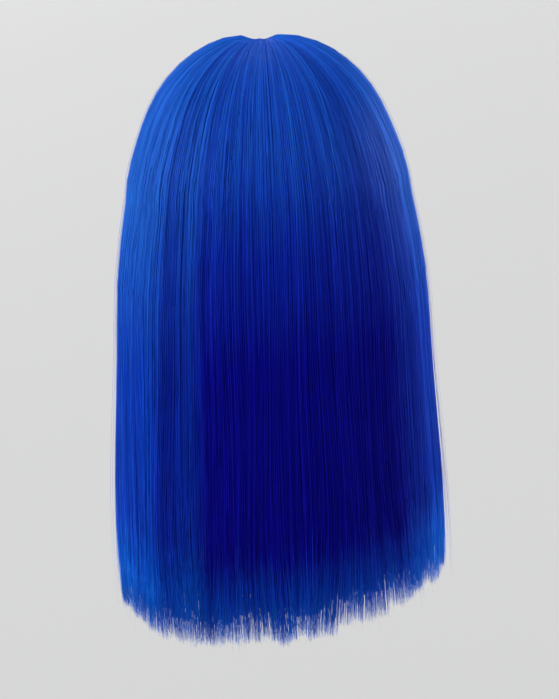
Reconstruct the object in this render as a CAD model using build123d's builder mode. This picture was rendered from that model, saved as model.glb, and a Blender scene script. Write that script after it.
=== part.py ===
"""Straight bob costume wig: stretch cap, weft tracks, combs, strap hooks and hair sections.

Millimetres. The wearer faces -Y, +X is the wearer's left and +Z is up. The origin is the centre of the head
at the cap's widest ring, which is where the head holds the wig.
"""
import os
from math import cos, radians, sin, sqrt, tan

from build123d import *

os.makedirs("parts", exist_ok=True)

# The head that the cap is cut for: half width, half depth and crown height, a 54 cm cap
HEAD = Vector(77, 95, 95)

# The hair's outside at the head's widest ring and at the crown, and its half width and depth at the hem
HAIR = Vector(98, 113, 112)
HEM_X = 121
HEM_Y = 116
HEM_Z = -276

# The cut slants a little: each hanging section's outer hem, and how much shorter its inner layer is
HEM_LEVELS = {"left": -284, "right": -262, "back": HEM_Z}
INNER_SHORTER = 6

# Levels
NET_Z = 60  # lower edge of the stretch net
RING_Z = 0  # widest ring, where the dome ends
FALL_Z = -52  # where the hair leaves the head and hangs free
GAP = 0.4  # air between pieces of different bodies
SEAM = 0.2  # air between neighbouring hair sections of one body

# Cap cloth
SKIN = 1.2
BAND = 10
RIB = 7
TRACK_STEP = 14
TRACK_HEIGHT = 3
TRACK_DEPTH = 2.0
TRACKS = 7
TRACK_TOP_Z = 52
TRACK_FRONT_Y = -44

# Parting
PART_WIDTH = 16
PART_BACK_Y = 6
PART_GAP = 3  # half the strip of skin that shows between the hair
PART_CLOSED = 4  # how far the hair closes over the strip's back end

# Hair layers, as depths below the hair's outside
OUTER_LAYER = 7
FALL_OUTER = 8

# Face opening and the sectors of the hanging hair
FACE_X = 52
FACE_TOP_Z = 34
FACE_BACK_Y = -40
BACK_ANGLE = 50  # the back section starts this far round from the wearer's left
BACK_RISE = tan(radians(BACK_ANGLE))
FAR = 260  # beyond the wig in every direction

# Combs
COMB_WIDTH = 28
COMB_SPINE = 4
COMB_THICK = 1.2
TOOTH = 1.2
TOOTH_LENGTH = 20
TEETH = 11
COMB_INSET = 4.2  # how far inside the cap's wall a comb lies
SPINE_TOP = 13
TAPE_THICK = 0.8

# Nape adjusters
NAPE_Z = -45
STRAP_END = 66
LADDER_HEIGHT = 8
LADDER_THICK = 1.0
LOOP_THICK = 0.5
LOOP_MARGIN = 1
LOOP_STEP = 5
LOOP_HALF_ANGLE = 1.5
LOOPS_EACH_SIDE = 5
LADDER_HALF_ANGLE = 28
HOOK_RADIUS = 49.9
HOOK_THICK = 1.5
HOOK_ANGLE = 12
HOOK_START = 30
WINDOW = (4, 6.5)  # the hook's window, as angles from its start
WINDOW_HEIGHT = 5
STRAP_OUTER = 1.8  # the strap's faces, as depths below the head's size
STRAP_INNER = 3.0

# Care label
LABEL_WIDTH = 22
LABEL_HEIGHT = 14
LABEL_THICK = 0.5
LABEL_INSET = 2.6


def ellipsoid(size):
    """A solid ellipsoid round the origin, with the half sizes given."""
    with BuildPart() as solid:
        Sphere(1)
        scale(by=(size.X, size.Y, size.Z))
    return solid.part


def layer(size, outer, inner):
    """The ellipsoidal shell from outer to inner millimetres outside the half sizes given."""
    with BuildPart() as solid:
        add(ellipsoid(size + Vector(outer, outer, outer)))
        add(ellipsoid(size + Vector(inner, inner, inner)), mode=Mode.SUBTRACT)
    return solid.part


def column(z_high, z_low, x_high, y_high, x_low, y_low):
    """A tapering elliptical column between two levels."""
    with BuildPart() as solid:
        with BuildSketch(Plane.XY.offset(z_high)):
            Ellipse(x_high, y_high)
        with BuildSketch(Plane.XY.offset(z_low)):
            Ellipse(x_low, y_low)
        loft()
    return solid.part


def hang(z_high, z_low, outer, inner):
    """Hair hanging round the head between two levels, from outer to inner millimetres below its outside."""

    def half_sizes(z, depth):
        down = (z - RING_Z) / (HEM_Z - RING_Z)
        x = HAIR.X + (HEM_X - HAIR.X) * down
        y = HAIR.Y + (HEM_Y - HAIR.Y) * down
        return x - depth, y - depth

    with BuildPart() as solid:
        add(column(z_high, z_low, *half_sizes(z_high, outer), *half_sizes(z_low, outer)))
        add(
            column(z_high, z_low, *half_sizes(z_high, inner), *half_sizes(z_low, inner)),
            mode=Mode.SUBTRACT,
        )
    return solid.part


def slab(z_low, z_high):
    """Everything between two levels."""
    with BuildPart() as solid:
        with BuildSketch(Plane.XY.offset(z_low)):
            Rectangle(2 * FAR, 2 * FAR)
        extrude(amount=z_high - z_low)
    return solid.part


def plan(points):
    """The upright prism over an outline in plan."""
    with BuildPart() as solid:
        with BuildSketch(Plane.XY.offset(-2 * FAR)):
            with BuildLine():
                Polyline(*points, close=True)
            make_face()
        extrude(amount=4 * FAR)
    return solid.part


def edge_line(raised):
    """The cap's lower edge seen from the side, as (y, z), raised by some millimetres."""
    brow_to_ear = [(-86, 32), (-66, 14), (-52, 0), (-34, -2), (-16, 12)]
    ear_to_nape = [(6, 18), (26, 6), (44, -28), (60, -50)]
    return [(y, z + raised) for y, z in brow_to_ear + ear_to_nape]


def above_edge(raised):
    """Everything above the cap's lower edge, raised by some millimetres."""
    line = edge_line(raised)
    with BuildPart() as solid:
        with BuildSketch(Plane.YZ):
            with BuildLine():
                Line((-FAR, line[0][1]), line[0])
                Spline(*line, tangents=[(1, -0.4), (1, 0)])
                Polyline(line[-1], (FAR, line[-1][1]), (FAR, FAR), (-FAR, FAR), (-FAR, line[0][1]))
            make_face()
        extrude(amount=FAR, both=True)
    return solid.part


def side_of(sign, gap=0):
    """The half space on the wearer's left (+1) or right (-1)."""
    return plan([(sign * gap, -FAR), (sign * FAR, -FAR), (sign * FAR, FAR), (sign * gap, FAR)])


def side_sector(sign, front_x):
    """The hair's side sector in plan, from the face opening round to the back section."""
    corner = (sign * FAR, FAR * BACK_RISE)
    return plan([(sign * front_x, -FAR), (sign * FAR, -FAR), corner, (0, 0), (sign * front_x, 0)])


def back_sector(gap):
    """The hair's back sector in plan, a gap away from the side sectors."""
    start = gap / cos(radians(BACK_ANGLE))
    return plan([(0, start), (FAR, FAR * BACK_RISE + start), (-FAR, FAR * BACK_RISE + start)])


def save(part, name):
    """Labels a finished piece and writes it."""
    part.label = name
    export_step(part, f"parts/{name}.step")


SIDES = {"left": 1, "right": -1}
cap_skin = layer(HEAD, SKIN, 0)
cap_inside_band = above_edge(BAND)

# Stretch net over the crown, open along the parting
with BuildPart() as crown_net:
    add(cap_skin)
    add(slab(NET_Z, FAR), mode=Mode.INTERSECT)
    with BuildSketch(Plane.XY.offset(NET_Z - 1)):
        with Locations((0, (PART_BACK_Y - FAR) / 2)):
            Rectangle(PART_WIDTH, FAR + PART_BACK_Y)
    extrude(amount=FAR, mode=Mode.SUBTRACT)
save(crown_net.part, "crown_net")

# Skin-coloured parting strip from the hairline to the crown
with BuildPart() as parting_skin:
    add(cap_skin)
    add(cap_inside_band, mode=Mode.INTERSECT)
    with BuildSketch(Plane.XY):
        with Locations((0, (PART_BACK_Y - FAR) / 2)):
            Rectangle(PART_WIDTH, FAR + PART_BACK_Y)
    extrude(amount=FAR, mode=Mode.INTERSECT)
save(parting_skin.part, "parting_skin")

# Edge band, cut into the front lace band, two side bands and the nape band
BAND_SPANS = {"front_band": (-FAR, -52), "side_band": (-52, 40), "nape_band": (40, FAR)}
with BuildPart() as edge_band:
    add(cap_skin)
    add(above_edge(0), mode=Mode.INTERSECT)
    add(cap_inside_band, mode=Mode.SUBTRACT)

for span_name, (y_front, y_back) in BAND_SPANS.items():
    with BuildPart() as band:
        add(edge_band.part)
        add(plan([(-FAR, y_front), (FAR, y_front), (FAR, y_back), (-FAR, y_back)]), mode=Mode.INTERSECT)
    if span_name == "side_band":
        for side, sign in SIDES.items():
            with BuildPart() as side_band:
                add(band.part)
                add(side_of(sign), mode=Mode.INTERSECT)
            save(side_band.part, f"side_band_{side}")
    else:
        save(band.part, span_name)

# Elastic ribs that run from the net down to the edge band, at these angles round the head
RIB_ANGLES = {
    "rib_back": 90,
    "rib_back_left": 55,
    "rib_back_right": 125,
    "rib_ear_left": 15,
    "rib_ear_right": 165,
    "rib_temple_left": -30,
    "rib_temple_right": 210,
}
with BuildPart() as rib_zone:
    add(cap_skin)
    add(slab(-FAR, NET_Z), mode=Mode.INTERSECT)
    add(cap_inside_band, mode=Mode.INTERSECT)

for rib_name, angle in RIB_ANGLES.items():
    with BuildPart() as rib:
        add(rib_zone.part)
        with BuildSketch(Plane.XY.offset(-FAR)):
            with Locations(Location((0, 0), angle)):
                with Locations((FAR / 2, 0)):
                    Rectangle(FAR, RIB)
        extrude(amount=2 * FAR, mode=Mode.INTERSECT)
    save(rib.part, rib_name)

# Weft tracks: machine-sewn rows that ring the sides and back and carry the hair
with BuildPart() as track_zone:
    add(layer(HEAD, SKIN + TRACK_DEPTH, SKIN))
    add(above_edge(BAND / 2), mode=Mode.INTERSECT)
    with BuildSketch(Plane.XY.offset(-FAR)):
        with Locations((0, TRACK_FRONT_Y - FAR / 2)):
            Rectangle(2 * FAR, FAR)
    extrude(amount=2 * FAR, mode=Mode.SUBTRACT)

for row in range(TRACKS):
    track_z = TRACK_TOP_Z - row * TRACK_STEP
    with BuildPart() as track:
        add(track_zone.part)
        add(slab(track_z, track_z + TRACK_HEIGHT), mode=Mode.INTERSECT)
    save(track.part, f"weft_track_{row + 1}")

# Ear tabs, each with a bendable stay on its inside, that fold out at the edge band
TAB_FRONT_Y = -58
TAB_BACK_Y = -32
TAB_TOP_Z = -5
TAB_TIP_Z = -34
STAY_WIDTH = 4
STAY_THICK = 0.9
tab_mid_y = (TAB_FRONT_Y + TAB_BACK_Y) / 2
for side, sign in SIDES.items():
    with BuildPart() as ear_tab:
        add(cap_skin)
        with BuildSketch(Plane.YZ):
            with BuildLine():
                Polyline(
                    (TAB_FRONT_Y + 6, TAB_TIP_Z + 8),
                    (TAB_FRONT_Y, TAB_TOP_Z),
                    (TAB_BACK_Y, TAB_TOP_Z),
                    (TAB_BACK_Y - 4, TAB_TIP_Z + 8),
                )
                ThreePointArc(
                    (TAB_BACK_Y - 4, TAB_TIP_Z + 8),
                    (tab_mid_y + 1, TAB_TIP_Z),
                    (TAB_FRONT_Y + 6, TAB_TIP_Z + 8),
                )
            make_face()
        extrude(amount=sign * FAR, mode=Mode.INTERSECT)
    save(ear_tab.part, f"ear_tab_{side}")

    with BuildPart() as ear_stay:
        add(layer(HEAD, 0, -STAY_THICK))
        with BuildSketch(Plane.YZ):
            with Locations((tab_mid_y + 1, (TAB_TOP_Z + TAB_TIP_Z) / 2 + 1)):
                SlotOverall(22, STAY_WIDTH, rotation=90)
        extrude(amount=sign * FAR, mode=Mode.INTERSECT)
    save(ear_stay.part, f"ear_stay_{side}")


def comb_plane(angle, z, teeth_up):
    """The plane a comb lies in: it faces out of the head, its y runs up the cap wall, or down it for teeth_up."""
    shrink = sqrt(1 - (z / HEAD.Z) ** 2)
    spot = Vector(HEAD.X * cos(radians(angle)) * shrink, HEAD.Y * sin(radians(angle)) * shrink, z)
    out = Vector(spot.X / HEAD.X**2, spot.Y / HEAD.Y**2, spot.Z / HEAD.Z**2).normalized()
    along = Vector(0, 0, 1).cross(out).normalized() * (-1 if teeth_up else 1)
    return Plane(origin=spot, x_dir=along, z_dir=out)


# Combs on the inside of the cap, each hinged on a sewn tape along its spine
COMBS = {
    "left": comb_plane(-22, 24, teeth_up=False),
    "right": comb_plane(202, 24, teeth_up=False),
    "back": comb_plane(90, -20, teeth_up=True),
}
tooth_pitch = (COMB_WIDTH - TOOTH) / (TEETH - 1)
for place, plane in COMBS.items():
    with BuildPart() as comb:
        with BuildSketch(plane.offset(-COMB_INSET)):
            with Locations((0, SPINE_TOP - COMB_SPINE / 2)):
                RectangleRounded(COMB_WIDTH, COMB_SPINE, 1)
            with Locations((0, SPINE_TOP - COMB_SPINE - TOOTH_LENGTH / 2 + 0.5)):
                with GridLocations(tooth_pitch, 0, TEETH, 1):
                    SlotOverall(TOOTH_LENGTH + 1, TOOTH, rotation=90)
        extrude(amount=-COMB_THICK)
    save(comb.part, f"comb_{place}")

    with BuildPart() as comb_tape:
        with BuildSketch(plane.offset(-COMB_INSET + GAP)):
            with Locations((0, SPINE_TOP - COMB_SPINE / 2)):
                Rectangle(COMB_WIDTH + 2, COMB_SPINE + 1)
        extrude(amount=TAPE_THICK)
    save(comb_tape.part, f"comb_tape_{place}")

# Ladder of loops sewn across the nape, the elastic straps and the hooks that catch its loops
ellipse_factor = sqrt(1 - (NAPE_Z / HEAD.Z) ** 2)
nape_x = HEAD.X * ellipse_factor
nape_y = HEAD.Y * ellipse_factor
NAPE_CENTRE_Y = nape_y - nape_x**2 / nape_y


def nape_sector(angle_from, angle_to):
    """The sector in plan between two angles, from straight back towards the wearer's left."""
    a, b = radians(angle_from), radians(angle_to)
    return plan(
        [
            (0, NAPE_CENTRE_Y),
            (FAR * sin(a), NAPE_CENTRE_Y + FAR * cos(a)),
            (FAR * sin(b), NAPE_CENTRE_Y + FAR * cos(b)),
        ]
    )


nape_slab = slab(NAPE_Z - LADDER_HEIGHT / 2, NAPE_Z + LADDER_HEIGHT / 2)
with BuildPart() as hook_ladder:
    add(layer(HEAD, 0, -LADDER_THICK))
    add(nape_slab, mode=Mode.INTERSECT)
    add(nape_sector(-LADDER_HALF_ANGLE, LADDER_HALF_ANGLE), mode=Mode.INTERSECT)
save(hook_ladder.part, "hook_ladder")

# The raised loops of the ladder
with BuildPart() as loop_zone:
    add(layer(HEAD, -LADDER_THICK, -LADDER_THICK - LOOP_THICK))
    loop_reach = LADDER_HEIGHT / 2 - LOOP_MARGIN
    add(slab(NAPE_Z - loop_reach, NAPE_Z + loop_reach), mode=Mode.INTERSECT)
with BuildPart() as ladder_loops:
    for index in range(-LOOPS_EACH_SIDE, LOOPS_EACH_SIDE + 1):
        middle = index * LOOP_STEP
        with BuildPart(mode=Mode.PRIVATE) as loop:
            add(loop_zone.part)
            add(nape_sector(middle - LOOP_HALF_ANGLE, middle + LOOP_HALF_ANGLE), mode=Mode.INTERSECT)
        add(loop.part)
save(ladder_loops.part, "ladder_loops")

for side, sign in SIDES.items():
    with BuildPart() as strap:
        add(layer(HEAD, -STRAP_OUTER, -STRAP_INNER))
        add(nape_slab, mode=Mode.INTERSECT)
        add(nape_sector(sign * (HOOK_START + HOOK_ANGLE + 1), sign * STRAP_END), mode=Mode.INTERSECT)
    save(strap.part, f"elastic_strap_{side}")

    with BuildPart() as hook:
        with BuildSketch(Plane.XY.offset(NAPE_Z - LADDER_HEIGHT / 2)):
            with Locations((0, NAPE_CENTRE_Y)):
                Circle(HOOK_RADIUS)
                Circle(HOOK_RADIUS - HOOK_THICK, mode=Mode.SUBTRACT)
        extrude(amount=LADDER_HEIGHT)
        add(nape_sector(sign * HOOK_START, sign * (HOOK_START + HOOK_ANGLE)), mode=Mode.INTERSECT)
        window = nape_sector(*(sign * (HOOK_START + angle) for angle in WINDOW))
        reach = WINDOW_HEIGHT / 2
        add(window & slab(NAPE_Z - reach, NAPE_Z + reach), mode=Mode.SUBTRACT)
    save(hook.part, f"strap_hook_{side}")

# Blank care label sewn inside the cap, to one side of the back comb
with BuildPart() as care_label:
    label_plane = comb_plane(58, -22, teeth_up=False)
    with BuildSketch(label_plane.offset(-LABEL_INSET)):
        RectangleRounded(LABEL_WIDTH, LABEL_HEIGHT, 1)
    extrude(amount=LABEL_THICK)
save(care_label.part, "care_label")

# Hair of the crown: the outer layer falls to both sides of the parting
face_plan = [(-FACE_X, -FAR), (FACE_X, -FAR), (FACE_X, FACE_BACK_Y), (-FACE_X, FACE_BACK_Y)]
face_gap = plan(face_plan) & slab(-FAR, FACE_TOP_Z)
part_end_y = PART_BACK_Y - PART_CLOSED
part_gap = plan([(-PART_GAP, -FAR), (PART_GAP, -FAR), (PART_GAP, part_end_y), (-PART_GAP, part_end_y)])
with BuildPart() as crown_outer:
    add(layer(HAIR, 0, -OUTER_LAYER))
    add(slab(RING_Z, FAR), mode=Mode.INTERSECT)
    add(face_gap, mode=Mode.SUBTRACT)
    add(part_gap, mode=Mode.SUBTRACT)

for side, sign in SIDES.items():
    with BuildPart() as hair_crown:
        add(crown_outer.part)
        add(side_of(sign, SEAM / 2), mode=Mode.INTERSECT)
    save(hair_crown.part, f"hair_crown_{side}")

# Hair under it: knotted hair on the net, and the weft rows round the sides and back
under_size = HEAD + Vector(1, 1, 1) * (SKIN + TRACK_DEPTH + SEAM)
with BuildPart() as under_hair:
    add(ellipsoid(HAIR - Vector(1, 1, 1) * (OUTER_LAYER + SEAM)))
    add(ellipsoid(under_size), mode=Mode.SUBTRACT)
    add(slab(RING_Z, FAR), mode=Mode.INTERSECT)
    add(face_gap, mode=Mode.SUBTRACT)
    add(part_gap, mode=Mode.SUBTRACT)

with BuildPart() as hair_net_layer:
    add(under_hair.part)
    add(slab(NET_Z + SEAM, FAR), mode=Mode.INTERSECT)
save(hair_net_layer.part, "hair_net_layer")

SECTORS = {
    "left": side_sector(1, PART_GAP),
    "right": side_sector(-1, PART_GAP),
    "back": back_sector(SEAM),
}
for place, sector in SECTORS.items():
    with BuildPart() as hair_rows:
        add(under_hair.part)
        add(slab(-FAR, NET_Z), mode=Mode.INTERSECT)
        add(sector, mode=Mode.INTERSECT)
    save(hair_rows.part, f"hair_rows_{place}")

# Hair beside the ears and over the nape, which still lies on the head
SIDE_DEPTH = 10
BACK_DEPTH = 14
LOW_ZONES = {
    "hair_temple_left": (side_sector(1, FACE_X), SIDE_DEPTH),
    "hair_temple_right": (side_sector(-1, FACE_X), SIDE_DEPTH),
    "hair_nape": (back_sector(SEAM), BACK_DEPTH),
}
for zone_name, (sector, depth) in LOW_ZONES.items():
    with BuildPart() as low_hair:
        add(hang(RING_Z - SEAM, FALL_Z + GAP, 0, depth))
        add(sector, mode=Mode.INTERSECT)
    save(low_hair.part, zone_name)

# Hanging hair: each section has an outer and an inner layer and swings out from the neck
HANG_DEPTH = 15
FALL_ZONES = {
    "left": side_sector(1, FACE_X),
    "right": side_sector(-1, FACE_X),
    "back": back_sector(GAP),
}
for place, sector in FALL_ZONES.items():
    hem_level = HEM_LEVELS[place]
    with BuildPart() as outer_fall:
        add(hang(FALL_Z, hem_level, 0, FALL_OUTER))
        add(sector, mode=Mode.INTERSECT)
    save(outer_fall.part, f"hair_fall_{place}_outer")

    with BuildPart() as inner_fall:
        add(hang(FALL_Z, hem_level + INNER_SHORTER, FALL_OUTER + SEAM, HANG_DEPTH))
        add(sector, mode=Mode.INTERSECT)
    save(inner_fall.part, f"hair_fall_{place}_inner")
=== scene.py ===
import math

import bmesh
import bpy
import numpy as np
from mathutils import Matrix, Vector


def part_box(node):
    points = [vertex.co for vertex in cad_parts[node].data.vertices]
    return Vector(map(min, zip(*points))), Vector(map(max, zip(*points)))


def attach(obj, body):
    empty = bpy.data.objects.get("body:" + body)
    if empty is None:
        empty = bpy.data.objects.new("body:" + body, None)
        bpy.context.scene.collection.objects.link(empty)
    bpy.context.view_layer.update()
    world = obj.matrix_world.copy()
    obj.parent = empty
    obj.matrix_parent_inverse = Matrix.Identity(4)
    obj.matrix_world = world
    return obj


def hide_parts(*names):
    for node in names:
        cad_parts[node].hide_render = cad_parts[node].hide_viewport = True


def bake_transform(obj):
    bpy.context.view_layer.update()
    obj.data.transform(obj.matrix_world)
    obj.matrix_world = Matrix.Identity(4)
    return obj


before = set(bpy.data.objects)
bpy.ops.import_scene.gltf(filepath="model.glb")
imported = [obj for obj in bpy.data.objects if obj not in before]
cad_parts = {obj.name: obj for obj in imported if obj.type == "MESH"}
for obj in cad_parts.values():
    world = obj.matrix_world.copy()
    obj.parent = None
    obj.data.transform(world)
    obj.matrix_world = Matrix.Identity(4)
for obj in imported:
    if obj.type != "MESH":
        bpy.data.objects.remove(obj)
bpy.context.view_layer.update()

# ---------------------------------------------------------------- sizes in metres, most from the frame
MM = 0.001
HAIR_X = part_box("hair_crown_left")[1][0]
HAIR_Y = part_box("hair_crown_left")[1][1]
HAIR_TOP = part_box("hair_crown_left")[1][2]
HEM_X = -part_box("hair_fall_right_outer")[0][0]
HEM_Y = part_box("hair_fall_back_outer")[1][1]
HEM_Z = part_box("hair_fall_back_outer")[0][2]
# how far the hem rises and falls with the cosine of the angle round the head, as it hangs lower on one side
HEM_SLANT = (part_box("hair_fall_left_outer")[0][2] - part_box("hair_fall_right_outer")[0][2]) * 0.55
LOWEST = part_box("hair_fall_left_outer")[0][2] - 19 * MM
NET_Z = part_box("crown_net")[0][2]
PART_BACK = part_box("parting_skin")[1][1]
PART_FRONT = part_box("parting_skin")[0][1]
SKIN = 1.2 * MM
THREAD = 0.18 * MM
BAND_HEIGHT = 10 * MM
NAPE_Z = sum(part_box("hook_ladder")[k][2] for k in (0, 1)) / 2
LADDER_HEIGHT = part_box("hook_ladder")[1][2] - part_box("hook_ladder")[0][2]

# the head's half sizes, from the cap cloth that lies on it
cap_share = math.sqrt(1 - (NET_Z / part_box("parting_skin")[1][2]) ** 2)
net_x, net_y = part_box("crown_net")[1][:2]
HEAD = np.array([net_x / cap_share, net_y / cap_share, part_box("parting_skin")[1][2]]) - SKIN

bpy.context.scene.view_settings.view_transform = "Standard"

# ---------------------------------------------------------------- camera, light and floor
TARGET = Vector((0, 0, -0.09))
CAMERA_AZIMUTH = 170.4
CAMERA_ELEVATION = 13.9
CAMERA_DISTANCE = 1.064
CAMERA_ROLL = -2.4
LENS = 76.3
CAMERA_SHIFT = (0.0098, -0.048)
SUN_ANGLE = 32
WORLD_STRENGTH = 0.74
FLOOR_DROP = 0.45


def make_camera():
    data = bpy.data.cameras.new("camera")
    data.lens = LENS
    data.sensor_width = 36
    camera = bpy.data.objects.new("camera", data)
    bpy.context.collection.objects.link(camera)
    azimuth, elevation = math.radians(CAMERA_AZIMUTH), math.radians(CAMERA_ELEVATION)
    level = math.cos(elevation)
    forward = Vector((-math.sin(azimuth) * level, math.cos(azimuth) * level, -math.sin(elevation)))
    roll = Matrix.Rotation(math.radians(CAMERA_ROLL), 3, "Z").to_quaternion()
    turn = forward.to_track_quat("-Z", "Y") @ roll
    camera.rotation_euler = turn.to_euler()
    camera.location = TARGET - forward * CAMERA_DISTANCE
    data.shift_x, data.shift_y = CAMERA_SHIFT
    bpy.context.scene.camera = camera


def make_light(name, azimuth, elevation, strength, colour):
    """A soft light so far off that it lights the object and the floor evenly."""
    data = bpy.data.lights.new(name, "SUN")
    data.angle = math.radians(SUN_ANGLE)
    data.energy = strength
    data.color = colour
    light = bpy.data.objects.new(name, data)
    bpy.context.collection.objects.link(light)
    azimuth, elevation = math.radians(azimuth), math.radians(elevation)
    level = math.cos(elevation)
    way = Vector((level * math.cos(azimuth), level * math.sin(azimuth), math.sin(elevation)))
    light.location = way * 4
    light.rotation_euler = way.to_track_quat("Z", "Y").to_euler()


def make_stage():
    """A wide pale floor, and a plain pale studio all round that also lights the object."""
    size, low = 40.0, HEM_Z - FLOOR_DROP
    mesh = bpy.data.meshes.new("floor")
    corners = [(-size, -size, low), (size, -size, low), (size, size, low), (-size, size, low)]
    mesh.from_pydata(corners, [], [(0, 1, 2, 3)])
    floor = bpy.data.objects.new("floor", mesh)
    bpy.context.collection.objects.link(floor)
    material = bpy.data.materials.new("floor_paint")
    material.use_nodes = True
    shader = material.node_tree.nodes["Principled BSDF"]
    shader.inputs["Base Color"].default_value = (0.43, 0.43, 0.43, 1)
    shader.inputs["Roughness"].default_value = 0.9
    mesh.materials.append(material)
    world = bpy.data.worlds.new("studio")
    world.use_nodes = True
    world.node_tree.nodes["Background"].inputs["Color"].default_value = (0.93, 0.94, 0.96, 1)
    world.node_tree.nodes["Background"].inputs["Strength"].default_value = WORLD_STRENGTH
    bpy.context.scene.world = world


make_camera()
make_stage()
make_light("key", 12, 24, 4.0, (1.0, 0.98, 0.95))
make_light("fill", 173, 14, 3.0, (0.95, 0.97, 1.0))
make_light("front", -80, 14, 1.0, (1.0, 1.0, 1.0))


# ---------------------------------------------------------------- node helpers
class Nodes:
    """Short calls for building a material's nodes."""

    def __init__(self, name):
        self.material = bpy.data.materials.new(name)
        self.material.use_nodes = True
        self.tree = self.material.node_tree
        self.shader = self.tree.nodes["Principled BSDF"]

    def add(self, kind, **values):
        node = self.tree.nodes.new(kind)
        for key, value in values.items():
            setattr(node, key, value)
        return node

    def link(self, source, target):
        self.tree.links.new(source, target)

    def set(self, **values):
        for key, value in values.items():
            self.shader.inputs[key.replace("_", " ")].default_value = value

    def attribute(self, name):
        return self.add("ShaderNodeAttribute", attribute_name=name).outputs["Fac"]

    def ramp(self, source, stops):
        node = self.add("ShaderNodeValToRGB")
        ramp = node.color_ramp
        while len(ramp.elements) < len(stops):
            ramp.elements.new(0.5)
        for element, (place, colour) in zip(ramp.elements, stops):
            element.position = place
            element.color = (*colour, 1)
        self.link(source, node.inputs["Fac"])
        return node.outputs["Color"]

    def mix(self, factor, first, second, blend="MIX"):
        node = self.add("ShaderNodeMix", data_type="RGBA", blend_type=blend)
        inputs = node.inputs
        for socket, value in ((inputs["Factor"], factor), (inputs[6], first), (inputs[7], second)):
            if isinstance(value, bpy.types.NodeSocket):
                self.link(value, socket)
            else:
                socket.default_value = value if isinstance(value, float) else (*value, 1)
        return node.outputs[2]


def hair_material():
    """Glossy blue fibre with painted light: painted top light makes the crown azure, painted shade darkens
    the middle of the back to ultramarine, painted light brightens the ends, a painted side sheen makes the
    sides azure, and a random tone a strand.
    """
    n = Nodes("hair_fibre")
    along = n.attribute("along")
    # painted light and shade along each hair: azure painted top light at the crown, painted shade darkening
    # the back's middle to ultramarine, painted light brightening the ends
    back = n.ramp(
        along,
        [
            (0.0, (0.008, 0.070, 0.46)),
            (0.28, (0.006, 0.055, 0.43)),
            (0.42, (0.004, 0.018, 0.36)),
            (0.58, (0.003, 0.002, 0.26)),
            (0.88, (0.003, 0.001, 0.23)),
            (0.95, (0.003, 0.040, 0.45)),
            (1.0, (0.004, 0.150, 0.80)),
        ],
    )
    # painted sheen of the side lights: the sides azure all the way down, lighter at the crown and ends
    side_sheen = n.ramp(
        along,
        [
            (0.0, (0.008, 0.080, 0.46)),
            (0.35, (0.012, 0.100, 0.50)),
            (0.6, (0.003, 0.046, 0.46)),
            (0.85, (0.003, 0.040, 0.43)),
            (1.0, (0.004, 0.160, 0.80)),
        ],
    )
    # the painted side sheen is mixed over the back's painted light and shade by how far round from the back
    # the hair hangs
    body = n.mix(n.attribute("side_sheen_share"), back, side_sheen)
    tones = [(0.0, (0.7, 0.5, 0.72)), (0.5, (0.97, 0.97, 0.97)), (1.0, (1.3, 1.9, 1.28))]
    shade = n.ramp(n.attribute("tone"), tones)
    n.link(n.mix(1.0, body, shade, "MULTIPLY"), n.shader.inputs["Base Color"])
    # roots bend sharply into the cap, so they are rough and show no long highlight
    for title, at_root, beyond in (("Roughness", 0.9, 0.4), ("Specular IOR Level", 0.0, 0.3)):
        n.link(n.ramp(along, [(0.0, (at_root,) * 3), (0.1, (beyond,) * 3)]), n.shader.inputs[title])
    n.set(IOR=1.45)
    n.shader.inputs["Specular Tint"].default_value = (0.02, 0.12, 1.0, 1)
    return n.material


HAIR_FIBRE = hair_material()


# ---------------------------------------------------------------- cap materials
def cloth_material(name, colour, dark, scale, roughness, bump, sheen=0.0):
    """Knitted or woven cloth: fine crossing ribs with a little mottling."""
    n = Nodes(name)
    place = n.add("ShaderNodeTexCoord").outputs["Object"]
    weave = n.add("ShaderNodeTexVoronoi", feature="F1", distance="CHEBYCHEV")
    weave.inputs["Scale"].default_value = scale
    n.link(place, weave.inputs["Vector"])
    mottle = n.add("ShaderNodeTexNoise")
    mottle.inputs["Scale"].default_value = 90
    mottle.inputs["Detail"].default_value = 4
    n.link(place, mottle.inputs["Vector"])
    thread = n.ramp(weave.outputs["Distance"], [(0.1, colour), (0.75, dark)])
    patch = n.ramp(mottle.outputs["Fac"], [(0.3, (0.8, 0.8, 0.8)), (0.7, (1.12, 1.12, 1.12))])
    n.link(n.mix(1.0, thread, patch, "MULTIPLY"), n.shader.inputs["Base Color"])
    lift = n.add("ShaderNodeBump")
    lift.inputs["Strength"].default_value = bump
    lift.inputs["Distance"].default_value = 0.2 * MM
    n.link(weave.outputs["Distance"], lift.inputs["Height"])
    lift.invert = True
    n.link(lift.outputs["Normal"], n.shader.inputs["Normal"])
    n.set(Roughness=roughness)
    n.shader.inputs["Sheen Weight"].default_value = sheen
    return n.material


def moulded_material(name, colour, edge_colour, roughness):
    """Moulded plastic or bare metal with faint flow marks, paler at sharp convex edges."""
    n = Nodes(name)
    place = n.add("ShaderNodeTexCoord").outputs["Object"]
    marks = n.add("ShaderNodeTexNoise")
    marks.inputs["Scale"].default_value = 260
    marks.inputs["Detail"].default_value = 6
    n.link(place, marks.inputs["Vector"])
    geometry = n.add("ShaderNodeNewGeometry")
    edge = n.ramp(geometry.outputs["Pointiness"], [(0.5, colour), (0.62, edge_colour)])
    patch = n.ramp(marks.outputs["Fac"], [(0.3, (0.75, 0.75, 0.75)), (0.7, (1.25, 1.25, 1.25))])
    n.link(n.mix(1.0, edge, patch, "MULTIPLY"), n.shader.inputs["Base Color"])
    lift = n.add("ShaderNodeBump")
    lift.inputs["Strength"].default_value = 0.15
    lift.inputs["Distance"].default_value = 0.1 * MM
    n.link(marks.outputs["Fac"], lift.inputs["Height"])
    n.link(lift.outputs["Normal"], n.shader.inputs["Normal"])
    n.set(Roughness=roughness)
    return n.material


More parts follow.
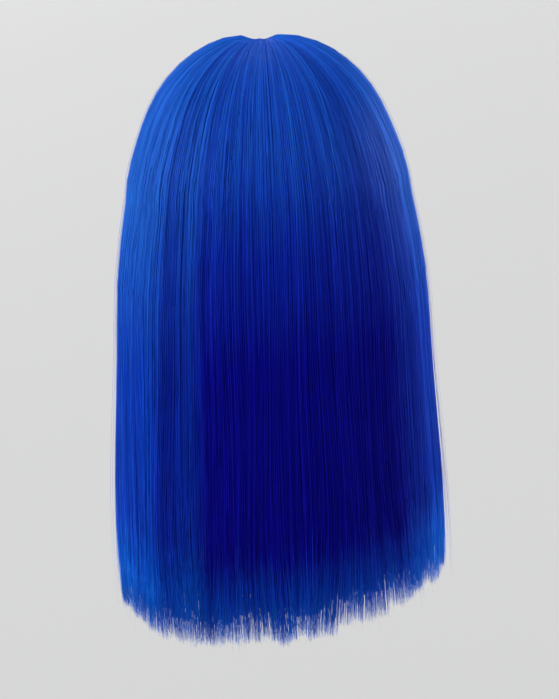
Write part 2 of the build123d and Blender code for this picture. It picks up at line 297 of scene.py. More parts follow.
ELASTIC = cloth_material("ribbed_elastic", (0.020, 0.028, 0.075), (0.006, 0.008, 0.03), 1500, 0.75, 0.5, 0.25)
NET_THREAD = cloth_material("net_thread", (0.02, 0.03, 0.10), (0.008, 0.012, 0.05), 2400, 0.7, 0.4, 0.2)
SKIN_SILK = cloth_material("skin_silk", (0.62, 0.40, 0.31), (0.47, 0.28, 0.21), 2600, 0.6, 0.35, 0.1)
SKIN_LACE = cloth_material("skin_lace", (0.52, 0.35, 0.28), (0.40, 0.25, 0.19), 2200, 0.7, 0.4, 0.1)
TAPE_CLOTH = cloth_material("woven_tape", (0.035, 0.035, 0.05), (0.012, 0.012, 0.02), 1300, 0.85, 0.6, 0.2)
LABEL_SATIN = cloth_material("label_satin", (0.82, 0.81, 0.78), (0.66, 0.65, 0.62), 2600, 0.4, 0.2)
WEFT_CLOTH = cloth_material("weft_thread", (0.012, 0.045, 0.27), (0.004, 0.012, 0.10), 1800, 0.6, 0.6, 0.1)
STITCH_THREAD = cloth_material("stitch_thread", (0.07, 0.12, 0.42), (0.02, 0.04, 0.2), 3000, 0.6, 0.3, 0.2)
COMB_PLASTIC = moulded_material("comb_nylon", (0.012, 0.012, 0.015), (0.05, 0.05, 0.055), 0.22)
HOOK_PLASTIC = moulded_material("hook_nylon", (0.02, 0.02, 0.022), (0.06, 0.06, 0.062), 0.35)
STAY_METAL = moulded_material("stay_aluminium", (0.62, 0.62, 0.64), (0.8, 0.8, 0.82), 0.38)
STAY_METAL.node_tree.nodes["Principled BSDF"].inputs["Metallic"].default_value = 1.0


def repaint(node, material):
    """A CAD node that keeps its shape gets a finished material."""
    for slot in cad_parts[node].material_slots:
        slot.material = material


for place in ("left", "right", "back"):
    repaint(f"comb_{place}", COMB_PLASTIC)
for place in ("left", "right"):
    repaint(f"strap_hook_{place}", HOOK_PLASTIC)
    repaint(f"ear_stay_{place}", STAY_METAL)


# ---------------------------------------------------------------- shapes carried along lines
def unit(rows):
    return rows / (np.linalg.norm(rows, axis=-1, keepdims=True) + 1e-12)


def circle(radius, corners):
    """A round profile."""
    turn = np.arange(corners) * 2 * math.pi / corners
    return np.stack([np.cos(turn), np.sin(turn)], -1)[None, None] * radius


def sweep(name, points, out, profile, material, columns=1, looped=False, values=None):
    """One mesh of closed bodies, each a profile carried along its own line.

    points and out are bodies x steps x 3: the lines and their outward directions. profile is bodies x steps x
    corners x 2: how far each corner lies across and outward. values are point attributes, bodies x steps.
    """
    if looped:
        tangent = unit(np.roll(points, -1, 1) - np.roll(points, 1, 1))
    else:
        tangent = unit(np.gradient(points, axis=1))
    out = unit(out - (out * tangent).sum(-1, keepdims=True) * tangent)
    side = np.cross(tangent, out)
    verts = points[:, :, None] + side[:, :, None] * profile[..., :1] + out[:, :, None] * profile[..., 1:]
    bodies, steps, corners = verts.shape[:3]
    ring = np.arange(corners)
    here = np.arange(steps if looped else steps - 1)
    first = np.arange(bodies)[:, None, None] * steps
    near = (first + here[None, :, None]) * corners + ring
    far = (first + (here[None, :, None] + 1) % steps) * corners + ring
    quads = np.stack([near, far, np.roll(far, -1, 2), np.roll(near, -1, 2)], -1).reshape(-1, 4)

    # each body has its own tile of the map, the profile across it and the line up it
    run = np.linalg.norm(np.diff(points, axis=1), axis=-1).cumsum(1)
    along = np.concatenate([np.zeros((bodies, 1)), run / (run[:, -1:] + 1e-12)], 1)
    rows = math.ceil(bodies / columns)
    index = np.arange(bodies)[:, None, None, None]
    edge = np.stack([ring, ring, ring + 1, ring + 1], -1)[None, None] / corners
    u = (index % columns + 0.02 + 0.96 * edge) / columns
    low = along[:, here, None]
    high = along[:, np.minimum(here + 1, steps - 1), None]
    v = np.stack([low, high, high, low], -1)
    v = (index // columns + 0.02 + 0.96 * v) / rows
    uv = np.stack(np.broadcast_arrays(u, v), -1).reshape(-1, 2)
    loops, counts = quads.ravel(), np.full(len(quads), 4)
    if not looped:
        start = first[:, 0] * corners + ring
        stop = start[:, ::-1] + (steps - 1) * corners
        loops = np.concatenate([loops, start.ravel(), stop.ravel()])
        counts = np.concatenate([counts, np.full(2 * bodies, corners)])
        tile = (index[:, 0, 0] % columns + 0.02 + 0.96 * (ring + 0.5) / corners) / columns
        for level, order in ((0.02, 1), (0.98, -1)):
            cap = np.broadcast_arrays(tile[:, ::order], (index[:, 0, 0] // columns + level) / rows)
            uv = np.concatenate([uv, np.stack(cap, -1).reshape(-1, 2)])

    mesh = bpy.data.meshes.new(name)
    mesh.vertices.add(bodies * steps * corners)
    mesh.vertices.foreach_set("co", verts.ravel().astype(np.float32))
    mesh.loops.add(len(loops))
    mesh.loops.foreach_set("vertex_index", loops.astype(np.int32))
    mesh.polygons.add(len(counts))
    mesh.polygons.foreach_set("loop_start", np.concatenate([[0], np.cumsum(counts)[:-1]]).astype(np.int32))
    mesh.polygons.foreach_set("use_smooth", np.ones(len(counts), bool))
    mesh.update(calc_edges=True)
    for title, value in (values or {}).items():
        spread = np.broadcast_to(value[:, :, None], (bodies, steps, corners))
        attribute = mesh.attributes.new(title, "FLOAT", "POINT")
        attribute.data.foreach_set("value", spread.ravel().astype(np.float32))
    mesh.uv_layers.new(name="OFBake").data.foreach_set("uv", uv.ravel().astype(np.float32))
    mesh.materials.append(material)
    piece = bpy.data.objects.new(name, mesh)
    bpy.context.collection.objects.link(piece)
    return piece


# ---------------------------------------------------------------- the cap, laid on the head's ellipsoid
def band_edge():
    """The cap's lower edge seen from the side, as heights over y, measured on the CAD's edge bands."""
    spots = []
    for name in ("front_band", "side_band_left", "nape_band"):
        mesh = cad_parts[name].data
        flat = np.zeros(len(mesh.vertices) * 3)
        mesh.vertices.foreach_get("co", flat)
        spots.append(flat.reshape(-1, 3))
    spots = np.concatenate(spots)
    y = np.linspace(spots[:, 1].min() + 2 * MM, spots[:, 1].max() - 2 * MM, 60)
    z = np.array([spots[np.abs(spots[:, 1] - v) < 3 * MM, 2].min() for v in y])
    return y, np.convolve(np.pad(z, 2, mode="edge"), np.ones(5) / 5, mode="valid")


EDGE_Y, EDGE_LOW = band_edge()


def on_cap(turn, z, lift=0.0):
    """Points on the cap at angles and heights, lifted outward by some distance."""
    size = HEAD + lift
    ring = np.sqrt(np.clip(1 - (z / size[2]) ** 2, 0, 1))
    return np.stack([size[0] * ring * np.cos(turn), size[1] * ring * np.sin(turn), z + 0 * turn], -1)


def cap_normal(points):
    return unit(points / HEAD**2)


def edge_path(turn, raised):
    """The line that runs round the cap a given height above its lower edge."""
    low, high = np.full_like(turn, -0.06), np.full_like(turn, 0.06)
    for _ in range(30):
        middle = (low + high) / 2
        spot = on_cap(turn, middle)
        above = middle > np.interp(spot[..., 1], EDGE_Y, EDGE_LOW) + raised
        high = np.where(above, middle, high)
        low = np.where(above, low, middle)
    return on_cap(turn, (low + high) / 2)


def turn_at(y):
    """The angle round the head, on the wearer's left, where the edge band passes a given y."""
    turn = np.radians(np.linspace(-90, 90, 181))
    return np.interp(y, edge_path(turn, BAND_HEIGHT / 2)[:, 1], turn)


def finish(piece, body="cap", replaced=()):
    """The piece rides on a body, and the CAD parts it replaces are hidden."""
    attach(piece, body)
    if replaced:
        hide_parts(*replaced)
    return piece


def ribbon(name, path, width, thick, ridges, material, lift=0.0, ridge=0.22, facing=1, looped=False):
    """A woven ribbon along a path on the cap, with lengthwise ridges on both faces and rounded edges."""
    count = 2 * ridges + 1
    spread = np.linspace(-0.48, 0.48, count) * width
    bump = thick / 2 * (1 - ridge / 2 + ridge / 2 * np.cos(np.arange(count) * math.pi))
    middle = lift + thick / 2
    profile = [(spread[k], middle - bump[k]) for k in range(count)] + [(width / 2, middle)]
    profile += [(spread[k], middle + bump[k]) for k in reversed(range(count))] + [(-width / 2, middle)]
    profile = np.array(profile)
    profile[:, 1] -= profile[:, 0] ** 2 / (HEAD[0] + HEAD[1]) * facing
    path = np.asarray(path)[None]
    return sweep(name, path, cap_normal(path) * facing, profile[None, None], material, looped=looped)


def stitches(name, paths, pitch, length, lift, facing=1, lean=0.0, body="cap"):
    """Rows of sewn stitches along paths, each a short thread that dips into the cloth at its ends."""
    share = np.linspace(0, 1, 5)
    threads = []
    for path in paths:
        run = np.concatenate([[0], np.linalg.norm(np.diff(path, axis=0), axis=-1).cumsum()])
        starts = np.arange(pitch / 2, run[-1] - length / 2, pitch)
        at = starts[:, None] + share * length
        threads.append(np.stack([np.interp(at, run, path[:, axis]) for axis in range(3)], -1))
    points = np.concatenate(threads)
    out = cap_normal(points) * facing
    across = np.cross(unit(np.gradient(points, axis=1)), out)
    swap = np.where(np.arange(len(points)) % 2, 1, -1)[:, None]
    rise = lift + THREAD * (1.6 * np.sin(share * math.pi) - 0.6)
    points = points + out * rise[None, :, None] + across * (lean * (share - 0.5) * swap)[..., None]
    return finish(sweep(name, points, out, circle(THREAD, 5), STITCH_THREAD, columns=24), body)


def pad(name, outline, place, thick, material):
    """A flat sewn piece with thinned edges. outline is corners x 2; place lays points and lifts in space."""
    scale = np.linspace(0, 1, 9)[1:, None]
    centre = outline.mean(0)
    flat = centre + (outline - centre) * scale[..., None]
    puff = thick / 2 * (1 - 0.7 * scale**8) + 0 * flat[..., 0]
    front = place(flat, thick / 2 + puff)
    back = place(flat, thick / 2 - puff)[::-1]
    rings = np.concatenate([front, back])
    tips = [place(centre[None], np.array([lift]))[0] for lift in (thick, 0.0)]
    count, size = rings.shape[:2]
    faces = []
    for k in range(size):
        m = (k + 1) % size
        faces.append((count * size, k, m))
        rows = [(i * size, (i + 1) * size) for i in range(count - 1)]
        faces += [(near + k, far + k, far + m, near + m) for near, far in rows]
        faces.append((count * size + 1, (count - 1) * size + m, (count - 1) * size + k))
    mesh = bpy.data.meshes.new(name)
    verts = [tuple(v) for v in [*rings.reshape(-1, 3), *tips]]
    mesh.from_pydata(verts, [], faces)
    shell = bmesh.new()
    shell.from_mesh(mesh)
    bmesh.ops.recalc_face_normals(shell, faces=shell.faces)
    shell.to_mesh(mesh)
    shell.free()
    mesh.polygons.foreach_set("use_smooth", [True] * len(mesh.polygons))
    mesh.materials.append(material)
    piece = bpy.data.objects.new(name, mesh)
    bpy.context.collection.objects.link(piece)
    return piece


def rounded(width, height, square=0.25, corners=72):
    """A rectangle with rounded corners, as corners x 2."""
    turn = np.arange(corners) * 2 * math.pi / corners
    wide, high = np.cos(turn), np.sin(turn)
    flat = np.stack([np.sign(wide) * np.abs(wide) ** square, np.sign(high) * np.abs(high) ** square], -1)
    return flat * (width / 2, height / 2)


def make_bands():
    """Edge bands with two rows of stitches: skin-coloured lace in front, ribbed elastic round the rest."""
    front = turn_at(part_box("side_band_left")[0][1])
    back = turn_at(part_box("side_band_left")[1][1])
    spans = {
        "front_band": (-math.pi - front, front, SKIN_LACE, "lace", 4),
        "side_band_left": (front, back, ELASTIC, "band", 6),
        "side_band_right": (math.pi - back, math.pi - front, ELASTIC, "band", 6),
        "nape_band": (back, math.pi - back, ELASTIC, "band", 6),
    }
    for name, (start, stop, material, slot, ridges) in spans.items():
        turn = np.linspace(start, stop, 70)
        path = edge_path(turn, BAND_HEIGHT / 2)
        cloth = ribbon(f"{name}_cloth", path, BAND_HEIGHT, SKIN, ridges, material)
        finish(cloth, replaced=[name])
        rows = [edge_path(turn, raised) for raised in (1.3 * MM, BAND_HEIGHT - 1.3 * MM)]
        stitches(f"{name}_stitches", rows, 3.4 * MM, 2.2 * MM, SKIN)


RIB_ANGLES = {
    "rib_back": 90,
    "rib_back_left": 55,
    "rib_back_right": 125,
    "rib_ear_left": 15,
    "rib_ear_right": 165,
    "rib_temple_left": -30,
    "rib_temple_right": 210,
}


def make_ribs():
    """Elastic ribs from the net down to the edge band."""
    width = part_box("rib_back")[1][0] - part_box("rib_back")[0][0]
    for name, angle in RIB_ANGLES.items():
        turn = np.full(30, math.radians(angle))
        foot = edge_path(turn[:1], BAND_HEIGHT * 0.6)[0, 2]
        path = on_cap(turn, np.linspace(NET_Z + 2 * MM, foot, 30))
        finish(ribbon(f"{name}_elastic", path, width, SKIN * 0.9, 5, ELASTIC), replaced=[name])


def make_tracks():
    """Weft tracks: a bound core with a zigzag thread over it, wherever the cap has cloth under it."""
    for row in range(1, 8):
        name = f"weft_track_{row}"
        low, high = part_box(name)
        turn = np.radians(np.linspace(-90, 270, 361))
        spots = on_cap(turn, np.full_like(turn, (low[2] + high[2]) / 2))
        held = (spots[:, 2] > np.interp(spots[:, 1], EDGE_Y, EDGE_LOW) + 4 * MM) & (spots[:, 1] > low[1])
        runs = np.split(np.arange(len(turn)), np.where(np.diff(held.astype(int)) != 0)[0] + 1)
        runs = [run for run in runs if held[run[0]] and len(run) > 12]
        for number, run in enumerate(runs, 1):
            title = f"{name}_core_{number}"
            core = ribbon(title, spots[run], 3 * MM, 1.8 * MM, 2, WEFT_CLOTH, lift=SKIN, ridge=0.5)
            finish(core, replaced=[name] if number == 1 else ())
            title = f"{name}_zigzag_{number}"
            stitches(title, [spots[run]], 1.9 * MM, 1.9 * MM, -0.1 * MM, facing=-1, lean=2.6 * MM)


NET_CELL = 2.3 * MM
NET_RADIUS = 0.3 * MM


def make_net():
    """Stretch net of thin threads over the crown, open along the parting, with a ribbon round its edge."""
    half_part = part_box("parting_skin")[1][0] - 1.5 * MM
    cell = NET_CELL
    spots, places = {}, []
    for i in range(-int(HEAD[0] / cell), int(HEAD[0] / cell) + 1):
        for j in range(-int(HEAD[1] / cell), int(HEAD[1] / cell) + 1):
            x, y = i * cell, (j + 0.5 * (i % 2)) * cell
            inside = 1 - (x / HEAD[0]) ** 2 - (y / HEAD[1]) ** 2
            z = HEAD[2] * math.sqrt(max(inside, 0))
            if z > NET_Z - MM and not (abs(x) < half_part and y < PART_BACK - MM):
                spots[i, j] = len(places)
                places.append((x, y, z))
    places = np.array(places)
    places = places + cap_normal(places) * SKIN / 2
    pairs = []
    for (i, j), here in spots.items():
        for way in ((1, 0), (1, 1)) if i % 2 else ((1, 0), (1, -1)):
            there = spots.get((i + way[0], j + way[1]))
            if there is not None:
                pairs.append((here, there))
    lines = places[np.array(pairs)]
    net = sweep("crown_net_threads", lines, cap_normal(lines), circle(NET_RADIUS, 5), NET_THREAD, columns=64)
    finish(net, replaced=["crown_net"])

    # laid flat the net is an oval as wide and long as its arcs over the head, less the slot for the parting
    rim = on_cap(np.radians(np.arange(0, 360, 3)), np.full(120, NET_Z))
    finish(ribbon("crown_net_binding", rim, 4 * MM, MM, 3, ELASTIC, lift=0.1 * MM, looped=True))


def make_parting():
    """The skin-coloured strip under the parting, with a row of stitches along each side."""
    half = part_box("parting_skin")[1][0]
    y = np.linspace(PART_BACK, PART_FRONT, 60)

    def line(x):
        z = HEAD[2] * np.sqrt(1 - (x / HEAD[0]) ** 2 - (y / HEAD[1]) ** 2)
        return np.stack([np.full_like(y, x), y, z], -1)

    middle = line(0.0)
    cloth = ribbon("parting_cloth", middle, 2 * half, SKIN, 9, SKIN_SILK, ridge=0.1)
    finish(cloth, replaced=["parting_skin"])
    stitches("parting_stitches", [line(half - MM), line(MM - half)], 2.8 * MM, 1.8 * MM, SKIN)


# the combs and the label, as in the CAD: angle round the head, height, and whether the teeth point up
COMBS = {"left": (-22, 24, False), "right": (202, 24, False), "back": (90, -20, True)}
COMB_INSET = 4.2 * MM
SPINE_TOP = 13 * MM
LABEL_INSIDE = 3.1 * MM


def cap_plane(angle, z, teeth_up):
    """Lays flat points and lifts on the plane that touches the cap's inside at an angle and height."""
    spot = on_cap(np.array(math.radians(angle)), np.array(z * MM))
    out = cap_normal(spot)
    along = unit(np.cross((0, 0, 1), out)) * (-1 if teeth_up else 1)
    up = np.cross(out, along)

    def place(flat, lift):
        return spot + along * flat[..., :1] + up * flat[..., 1:] + out * np.asarray(lift)[..., None]

    return place


def make_tapes():
    """Woven tapes that carry the combs, tacked to the cap, and the blank satin label."""
    for name, (angle, z, teeth_up) in COMBS.items():
        plane = cap_plane(angle, z, teeth_up)
        low, high = -COMB_INSET + 0.4 * MM, -COMB_INSET + 1.2 * MM
        middle = np.array([0, SPINE_TOP - 2 * MM])
        outline = rounded(30 * MM, 5 * MM) + middle

        def at_spine(flat, lift):
            return plane(flat, low + lift)

        tape = pad(f"comb_tape_{name}_cloth", outline, at_spine, high - low, TAPE_CLOTH)
        finish(tape, replaced=[f"comb_tape_{name}"])
        hem = rounded(28 * MM, 3.4 * MM)
        hem = np.concatenate([hem, hem[:1]]) + middle
        row = plane(hem, np.full(len(hem), high))
        stitches(f"comb_tape_{name}_hem", [row], 1.6 * MM, 1.0 * MM, 0.0)
        columns, rows = (-13.5 * MM, 0, 13.5 * MM), (-1.2 * MM, 1.2 * MM)
        ends = np.array([(x, middle[1] + y) for x in columns for y in rows])
        near = plane(ends, np.full(6, low + 0.3 * MM))
        outward = cap_normal(near)
        gap = [np.linspace(p, p + n * reach_wall(p, n), 6) for p, n in zip(near, outward)]
        up = np.broadcast_to((0.1, 0.2, 1.0), (6, 6, 3))
        thread = circle(0.4 * MM, 6)
        tacks = sweep(f"comb_tape_{name}_tacks", np.array(gap), up, thread, STITCH_THREAD, columns=6)
        finish(tacks)
    plane = cap_plane(58, -22, False)

    def at_label(flat, lift):
        return plane(flat, lift - LABEL_INSIDE)

    label = pad("care_label_cloth", rounded(22 * MM, 14 * MM, 0.12), at_label, 0.5 * MM, LABEL_SATIN)
    finish(label, replaced=["care_label"])
    top = np.stack([np.linspace(-10 * MM, 10 * MM, 20), np.full(20, 6 * MM)], -1)
    row = plane(top, np.full(20, -LABEL_INSIDE))
    stitches("care_label_stitches", [row], 2.0 * MM, 1.3 * MM, 0.0, facing=-1)


def reach_wall(spot, way):
    """How far a point inside the cap is from its wall, along a direction."""
    step = np.linspace(0, 9 * MM, 200)
    inside = (((spot + step[:, None] * way) / HEAD) ** 2).sum(-1)
    return step[np.argmax(inside >= 1)]


nape_share = math.sqrt(1 - (NAPE_Z / HEAD[2]) ** 2)
NAPE_CENTRE_Y = HEAD[1] * nape_share - (HEAD[0] * nape_share) ** 2 / (HEAD[1] * nape_share)


def nape(angle, depth, z=NAPE_Z):
    """Points on the inside of the nape, at angles from straight back towards the wearer's left."""
    angle, depth, z = np.broadcast_arrays(np.asarray(angle, float), np.asarray(depth, float), z)
    ring = np.sqrt(1 - (z / (HEAD[2] - depth)) ** 2)
    x_size, y_size = (HEAD[0] - depth) * ring, (HEAD[1] - depth) * ring
    sine, cosine = np.sin(np.radians(angle)), np.cos(np.radians(angle))
    a = (sine / x_size) ** 2 + (cosine / y_size) ** 2
    b = 2 * NAPE_CENTRE_Y * cosine / y_size**2
    c = (NAPE_CENTRE_Y / y_size) ** 2 - 1
    reach = (-b + np.sqrt(b * b - 4 * a * c)) / (2 * a)
    return np.stack([reach * sine, NAPE_CENTRE_Y + reach * cosine, z], -1)


LADDER_SPAN = 28
LOOP_STEP = 5
STRAP_END = 66
HOOK_END = 42
HOOK_INSIDE = 48.4 * MM


def make_nape():
    """The ladder of loops at the nape and the elastic straps that stretch from the cap to their hooks."""
    path = nape(np.linspace(LADDER_SPAN, -LADDER_SPAN, 40), 0)
    ladder = ribbon("hook_ladder_cloth", path, LADDER_HEIGHT, MM, 5, ELASTIC, lift=-MM, ridge=0.15)
    finish(ladder, replaced=["hook_ladder"])
    rise = np.linspace(-1, 1, 9)
    bars = []
    for angle in range(-25, 26, LOOP_STEP):
        for shift in (-0.7, 0.7):
            bars.append(nape(angle + shift, MM + 0.45 * MM * (1 - rise**4), NAPE_Z + rise * 3 * MM))
    bars = np.array(bars)
    thread = circle(0.4 * MM, 6)
    loops = sweep("ladder_loops_thread", bars, cap_normal(bars), thread, STITCH_THREAD, columns=11)
    finish(loops, replaced=["ladder_loops"])
    seam = np.linspace(LADDER_SPAN - 1, 1 - LADDER_SPAN, 60)
    rows = [nape(seam, MM, NAPE_Z + height) for height in (3.2 * MM, -3.2 * MM)]
    stitches("hook_ladder_stitches", rows, 2.4 * MM, 1.5 * MM, 0.0, facing=-1)
    for side, sign in (("left", 1), ("right", -1)):
        angle = np.linspace(STRAP_END, HOOK_END - 3, 40)
        outer = nape(sign * angle, 2.4 * MM)
        at_hook = np.stack([np.sin(np.radians(sign * angle)), np.cos(np.radians(angle)), 0 * angle], -1)
        at_hook = at_hook * (HOOK_INSIDE - 0.9 * MM) + (0, NAPE_CENTRE_Y, NAPE_Z)
        share = np.clip((STRAP_END - angle) / (STRAP_END - HOOK_END - 2), 0, 1)[:, None]
        path = outer + (at_hook - outer) * share**1.3
        title = f"elastic_strap_{side}_cloth"
        strap = ribbon(title, path, LADDER_HEIGHT * 0.9, 1.1 * MM, 5, ELASTIC, lift=-0.55 * MM)
        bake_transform(strap)
        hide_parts(f"elastic_strap_{side}")


def make_ear_tabs():
    """Padded cloth tabs in front of the ears, bound and stitched round their edges."""
    for side, sign in (("left", 1), ("right", -1)):
        low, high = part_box(f"ear_tab_{side}")
        size = np.array([high[1] - low[1], high[2] - low[2]])
        outline = rounded(1, 1, 0.45, 96)
        outline[:, 1] = np.where(outline[:, 1] < 0, -np.abs(outline[:, 1] * 2) ** 1.15 / 2, outline[:, 1])
        outline[:, 0] *= 1 - 0.35 * (0.5 - outline[:, 1])
        outline = outline * size * 0.97 + ((low[1] + high[1]) / 2, (low[2] + high[2]) / 2)

        def place(flat, lift):
            sizes = HEAD + np.asarray(lift)[..., None]
            ring = 1 - (flat[..., 0] / sizes[..., 1]) ** 2 - (flat[..., 1] / sizes[..., 2]) ** 2
            return np.stack([sign * sizes[..., 0] * np.sqrt(ring), flat[..., 0], flat[..., 1]], -1)

        body = f"ear_tab_{side}"
        tab = finish(pad(f"{body}_cloth", outline, place, SKIN, TAPE_CLOTH), body, [body])
        binding = place(outline, np.full(96, SKIN / 2))[None]
        edge = circle(0.75 * MM, 8)
        binding = sweep(f"{body}_binding", binding, cap_normal(binding), edge, ELASTIC, looped=True)
        finish(binding, body)
        turn = np.full(12, math.asin((low[1] + high[1]) / 2 / HEAD[1]))
        turn = turn if sign > 0 else math.pi - turn
        fold = on_cap(turn, np.linspace(high[2] + 8 * MM, high[2] - 5 * MM, 12))
        hinge = ribbon(f"{body}_fold", fold, size[0] * 0.8, 0.5 * MM, 8, ELASTIC, lift=0.35 * MM, ridge=0.4)
        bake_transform(hinge)
        centre = outline.mean(0)
        closed = outline[list(range(96)) + [0]]
        rows = [place(centre + (closed - centre) * scale, np.full(97, SKIN)) for scale in (0.86, 0.42)]
        stitches(f"{body}_stitches", rows, 2.2 * MM, 1.5 * MM, 0.0, body=body)


make_parting()
make_net()
make_bands()
make_ribs()
make_tracks()
make_tapes()
make_nape()
make_ear_tabs()


# ---------------------------------------------------------------- hair
def wave(seed, count=5, low=1.0, high=9.0):
    """A smooth random function of an angle in radians and a place along the hair."""
    local = np.random.default_rng(seed)
    turns = local.uniform(low, high, count)
    lean = local.uniform(-3, 3, count)
    phase = local.uniform(0, 2 * math.pi, count)
    size = local.uniform(0.5, 1, count)
    size = size / np.sqrt((size**2).sum())

    def value(angle, place):
        total = 0
        for k in range(count):
            total = total + size[k] * np.sin(turns[k] * angle + lean[k] * place + phase[k])
        return total

    return value


drift = wave(11, 6, 3, 14)
billow = wave(12, 6, 4, 18)
hem_wave = wave(13, 9, 4, 34)
crown_wave = wave(14, 5, 3, 12)
sheen_band_wave = wave(15, 7, 5, 30)
lock_wave = wave(16, 9, 18, 90)


# how deep the roots dip towards the parting, and how far from it the dip is felt
ROOT_SINK = 7 * MM
ROOT_REACH = 9 * MM
# how far round from the back the painted side sheen begins and is complete
SHEEN_TURN = np.radians((36, 60))
# tufts round the whole hem, and the points in a strand over the dome and down the fall
CLUMPS = 320
STRAND_DOME = 14
STRAND_FALL = 10


def fullness(z):
    """How far the hair stands out of its plain dome and cone at each height."""
    return 3.2 * MM * (np.exp(-(((z + 0.055) / 0.05) ** 2)) - 0.9 * np.exp(-(((z - 0.045) / 0.03) ** 2)))


def flow(angle, depth, short, steps, root_spread=0.0, pull=0.0):
    """Centre lines of hairs, one row of points each, from the parting over the crown and down to the hem.

    angle is where the hair crosses the widest ring, depth how far it lies below the hair's outside,
    short how far above the hem it ends, and pull how far it turns aside by its tip.
    """
    angle, depth, short, pull = (np.asarray(v, float).reshape(-1, 1) for v in (angle, depth, short, pull))
    ring_x, ring_y = HAIR_X * np.cos(angle), HAIR_Y * np.sin(angle)
    root_y = np.clip(0.9 * ring_y, PART_FRONT + 4 * MM, PART_BACK + root_spread)
    root_x = np.where(ring_y < PART_BACK, np.sign(ring_x) * 2.0 * MM, ring_x * 0.03)
    t = np.linspace(0, 1, steps[0])[None, :]
    reach = np.sin(t * math.pi / 2)
    x = root_x + (ring_x - root_x) * reach
    y = root_y + (ring_y - root_y) * reach
    away = np.hypot(x - root_x, y - root_y)
    level = np.sqrt(np.clip(1 - (x / HAIR_X) ** 2 - (y / HAIR_Y) ** 2, 0, 1)) * HAIR_TOP
    sunk = depth + ROOT_SINK * np.exp(-away / ROOT_REACH)
    sunk = sunk + 0.9 * MM * crown_wave(angle, 0) * (1 - np.exp(-away / (30 * MM)))
    sunk = sunk - fullness(level)
    dome = np.stack([x, y, level], -1)
    dome = dome - unit(dome / (HAIR_X, HAIR_Y, HAIR_TOP) / (HAIR_X, HAIR_Y, HAIR_TOP)) * sunk[..., None]

    s = np.linspace(0, 1, steps[1] + 1)[None, 1:]
    end = HEM_Z + HEM_SLANT * np.cos(angle) + short - 2 * MM + 2.5 * MM * hem_wave(angle, 0)
    end = np.maximum(end, LOWEST)
    fall_z = dome[:, -1:, 2] + (end - dome[:, -1:, 2]) * s
    share = np.clip(fall_z / HEM_Z, 0, 1.05)
    flare = 1 - (1 - np.clip(share, 0, 1)) ** 1.7
    swing = angle + 0.035 * drift(angle, share * 2) * share + pull * share**5
    inward = depth + 0.9 * MM * crown_wave(angle, 0) * (1 - share)
    inward = inward + 1.3 * MM * billow(angle, share * 1.5) * share - fullness(fall_z)
    half_x = HAIR_X + (HEM_X - HAIR_X) * flare - inward
    half_y = HAIR_Y + (HEM_Y - HAIR_Y) * flare - inward
    fall = np.stack([half_x * np.cos(swing), half_y * np.sin(swing), fall_z], -1)
    return np.concatenate([dome, fall], 1)


def hair_normal(points):
    """Outward from the hair, and straight out where it hangs."""
    rise = np.clip(points[..., 2:3], 0, None)
    way = [points[..., :1] / HAIR_X**2, points[..., 1:2] / HAIR_Y**2, rise / HAIR_TOP**2]
    return unit(np.concatenate(way, -1))


SIDE_START = math.radians(-63)
SECTIONS = {
    "left": (SIDE_START, math.radians(50)),
    "back": (math.radians(50), math.radians(130)),
    "right": (math.radians(130), math.radians(180) - SIDE_START),
}


def hang_on(piece):
    """The piece's placement is baked into its mesh."""
    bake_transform(piece)
    return piece


def paint(points, angle, tone):
    """Point attributes for the fibre's colour: how far along, which places its painted light and shade, how
    light at random, and how far round from the back, which sets the share of painted side sheen.
    """
    run = np.linalg.norm(np.diff(points, axis=1), axis=-1).cumsum(1)
    along = np.concatenate([np.zeros((len(points), 1)), run / run[:, -1:]], 1)
    # the share of painted side sheen, rising from the back towards the sides with a wavy edge
    side_sheen_share = (np.abs(angle - math.pi / 2) - SHEEN_TURN[0]) / (SHEEN_TURN[1] - SHEEN_TURN[0])
    side_sheen_share = np.clip(side_sheen_share + 0.15 * sheen_band_wave(angle, 0), 0, 1)[:, None]
    tone = tone[:, None] + 0.15 * lock_wave(angle[:, None], along * 0.5)
    return {"along": along, "tone": tone, "side_sheen_share": side_sheen_share + 0 * along}


def strand_piece(
    name, place, count, depth_range, half_width, seed, stray=0.3 * MM, wander=1.0, reach=(8 * MM, 8 * MM)
):
    """Fine single hairs over one section, drawn together into small tufts near their tips."""
    local = np.random.default_rng(seed)
    low, high = SECTIONS[place]
    angle = local.uniform(low, high, count)
    tufts = np.random.default_rng(7)
    centres = np.sort(tufts.uniform(SIDE_START, math.pi - SIDE_START, CLUMPS))
    tuft_end = tufts.normal(0, 1.6 * MM, CLUMPS)
    nearest = np.abs(angle[:, None] - centres[None, :]).argmin(1)
    pull = np.clip((centres[nearest] - angle) * 0.3, -0.03, 0.03) + wander * local.normal(0, 0.011, count)
    depth = local.uniform(*depth_range, count)
    short = np.minimum(local.exponential(reach[1], count), 50 * MM) - reach[0] + tuft_end[nearest]
    points = flow(angle, depth, short, (STRAND_DOME, STRAND_FALL), 5 * MM, pull)
    s = np.linspace(0, 1, points.shape[1])[None, :]
    out = hair_normal(points)
    side = np.cross(unit(np.gradient(points, axis=1)), out)
    phase = local.uniform(0, 2 * math.pi, (count, 1))
    sway = local.normal(0, 1, (count, 1)) * np.sin(s * local.uniform(2, 6, (count, 1)) + phase)
    points = points + side * (sway * wander * 1.2 * MM * np.clip(s * 2, 0, 1))[..., None]
    stand_off = local.exponential(stray, (count, 1)) * np.clip(s * 3, 0, 1) * (0.4 + s**3)
    points = points + out * stand_off[..., None]
    taper = np.clip((1 - s) / 0.08, 0.2, 1) * np.clip(0.4 + s * 8, 0, 1)
    half = half_width * local.uniform(0.6, 1.3, (count, 1)) * taper
    turn = np.arange(3) * 2 * math.pi / 3 + math.pi / 2
    profile = np.stack([np.cos(turn), np.sin(turn) * 0.6], -1) * half[..., None, None]
    values = paint(points, angle, 0.15 + 0.7 * local.beta(2.4, 2.6, count))
    return hang_on(sweep(name, points, out, profile, HAIR_FIBRE, 40, values=values))


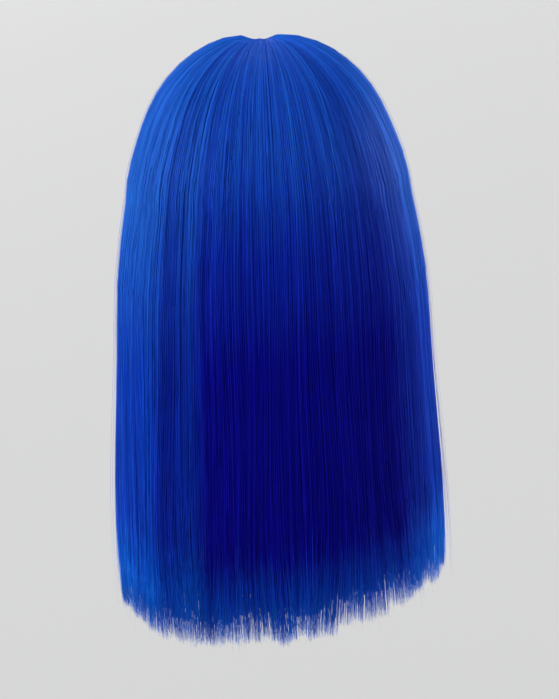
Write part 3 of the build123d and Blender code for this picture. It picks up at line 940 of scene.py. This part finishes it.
def lock_piece(name, place, count, depth_range, half_width, half_thick, seed, short_range):
    """Flat tapering locks that overlap like scales: the body of one section."""
    local = np.random.default_rng(seed)
    low, high = SECTIONS[place]
    angle = low + (high - low) * (np.arange(count) + local.uniform(0.2, 0.8, count)) / count
    depth = local.uniform(*depth_range, count)
    short = local.uniform(*short_range, count)
    points = flow(angle, depth, short, (18, 22))
    s = np.linspace(0, 1, points.shape[1])[None, :]
    grow = np.linalg.norm(points[..., :2], axis=-1) / HAIR_Y
    wide = half_width * local.uniform(0.7, 1.25, (count, 1)) * np.clip(grow, 0.18, 1.1)
    wide = wide * np.clip((1 - s) / 0.22, 0.12, 1) ** 0.6
    thick = half_thick * local.uniform(0.8, 1.2, (count, 1)) * np.clip((1 - s) / 0.15, 0.1, 1)
    thick = thick * np.clip(s * 6 + 0.2, 0, 1)
    turn = np.arange(10) * 2 * math.pi / 10
    bumpy = 1 + 0.06 * np.cos(turn * 3)
    profile = np.stack([wide[..., None] * np.cos(turn) * bumpy, thick[..., None] * np.sin(turn) * bumpy], -1)
    values = paint(points, angle, local.uniform(0.3, 0.6, count))
    return hang_on(sweep(name, points, hair_normal(points), profile, HAIR_FIBRE, 20, values=values))


BATCHES = 4
SHELLS = ("hair_crown_{0}", "hair_rows_{0}", "hair_temple_{0}", "hair_fall_{0}_outer", "hair_fall_{0}_inner")
REPLACED = {place: [name.format(place) for name in SHELLS] for place in ("left", "right")}
REPLACED["back"] = ["hair_net_layer", "hair_rows_back", "hair_nape"]
REPLACED["back"] += ["hair_fall_back_outer", "hair_fall_back_inner"]
for order, (place, (low, high)) in enumerate(SECTIONS.items()):
    share = (high - low) / math.radians(100)
    inner = lock_piece(
        f"locks_{place}_inner", place, int(60 * share), (9 * MM, 12 * MM), 5 * MM, 1.6 * MM, 30 + order,
        (2 * MM, 16 * MM),
    )
    lock_piece(
        f"locks_{place}_outer", place, int(120 * share), (2.2 * MM, 5.5 * MM), 3.4 * MM, 1.2 * MM, 40 + order,
        (6 * MM, 22 * MM),
    )
    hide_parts(*REPLACED[place])
    for batch in range(BATCHES):
        title, seed = f"strands_{place}_{batch + 1}", 50 + 10 * order + batch
        strand_piece(title, place, int(1230 * share), (0.2 * MM, 2.6 * MM), 0.22 * MM, seed)
    strand_piece(f"inner_strands_{place}", place, int(900 * share), (8 * MM, 12.5 * MM), 0.3 * MM, 90 + order)
    strand_piece(
        f"stray_hairs_{place}", place, int(90 * share), (0.0, 0.6 * MM), 0.13 * MM, 95 + order, 2.2 * MM, 3.5,
        (12 * MM, 12 * MM),
    )
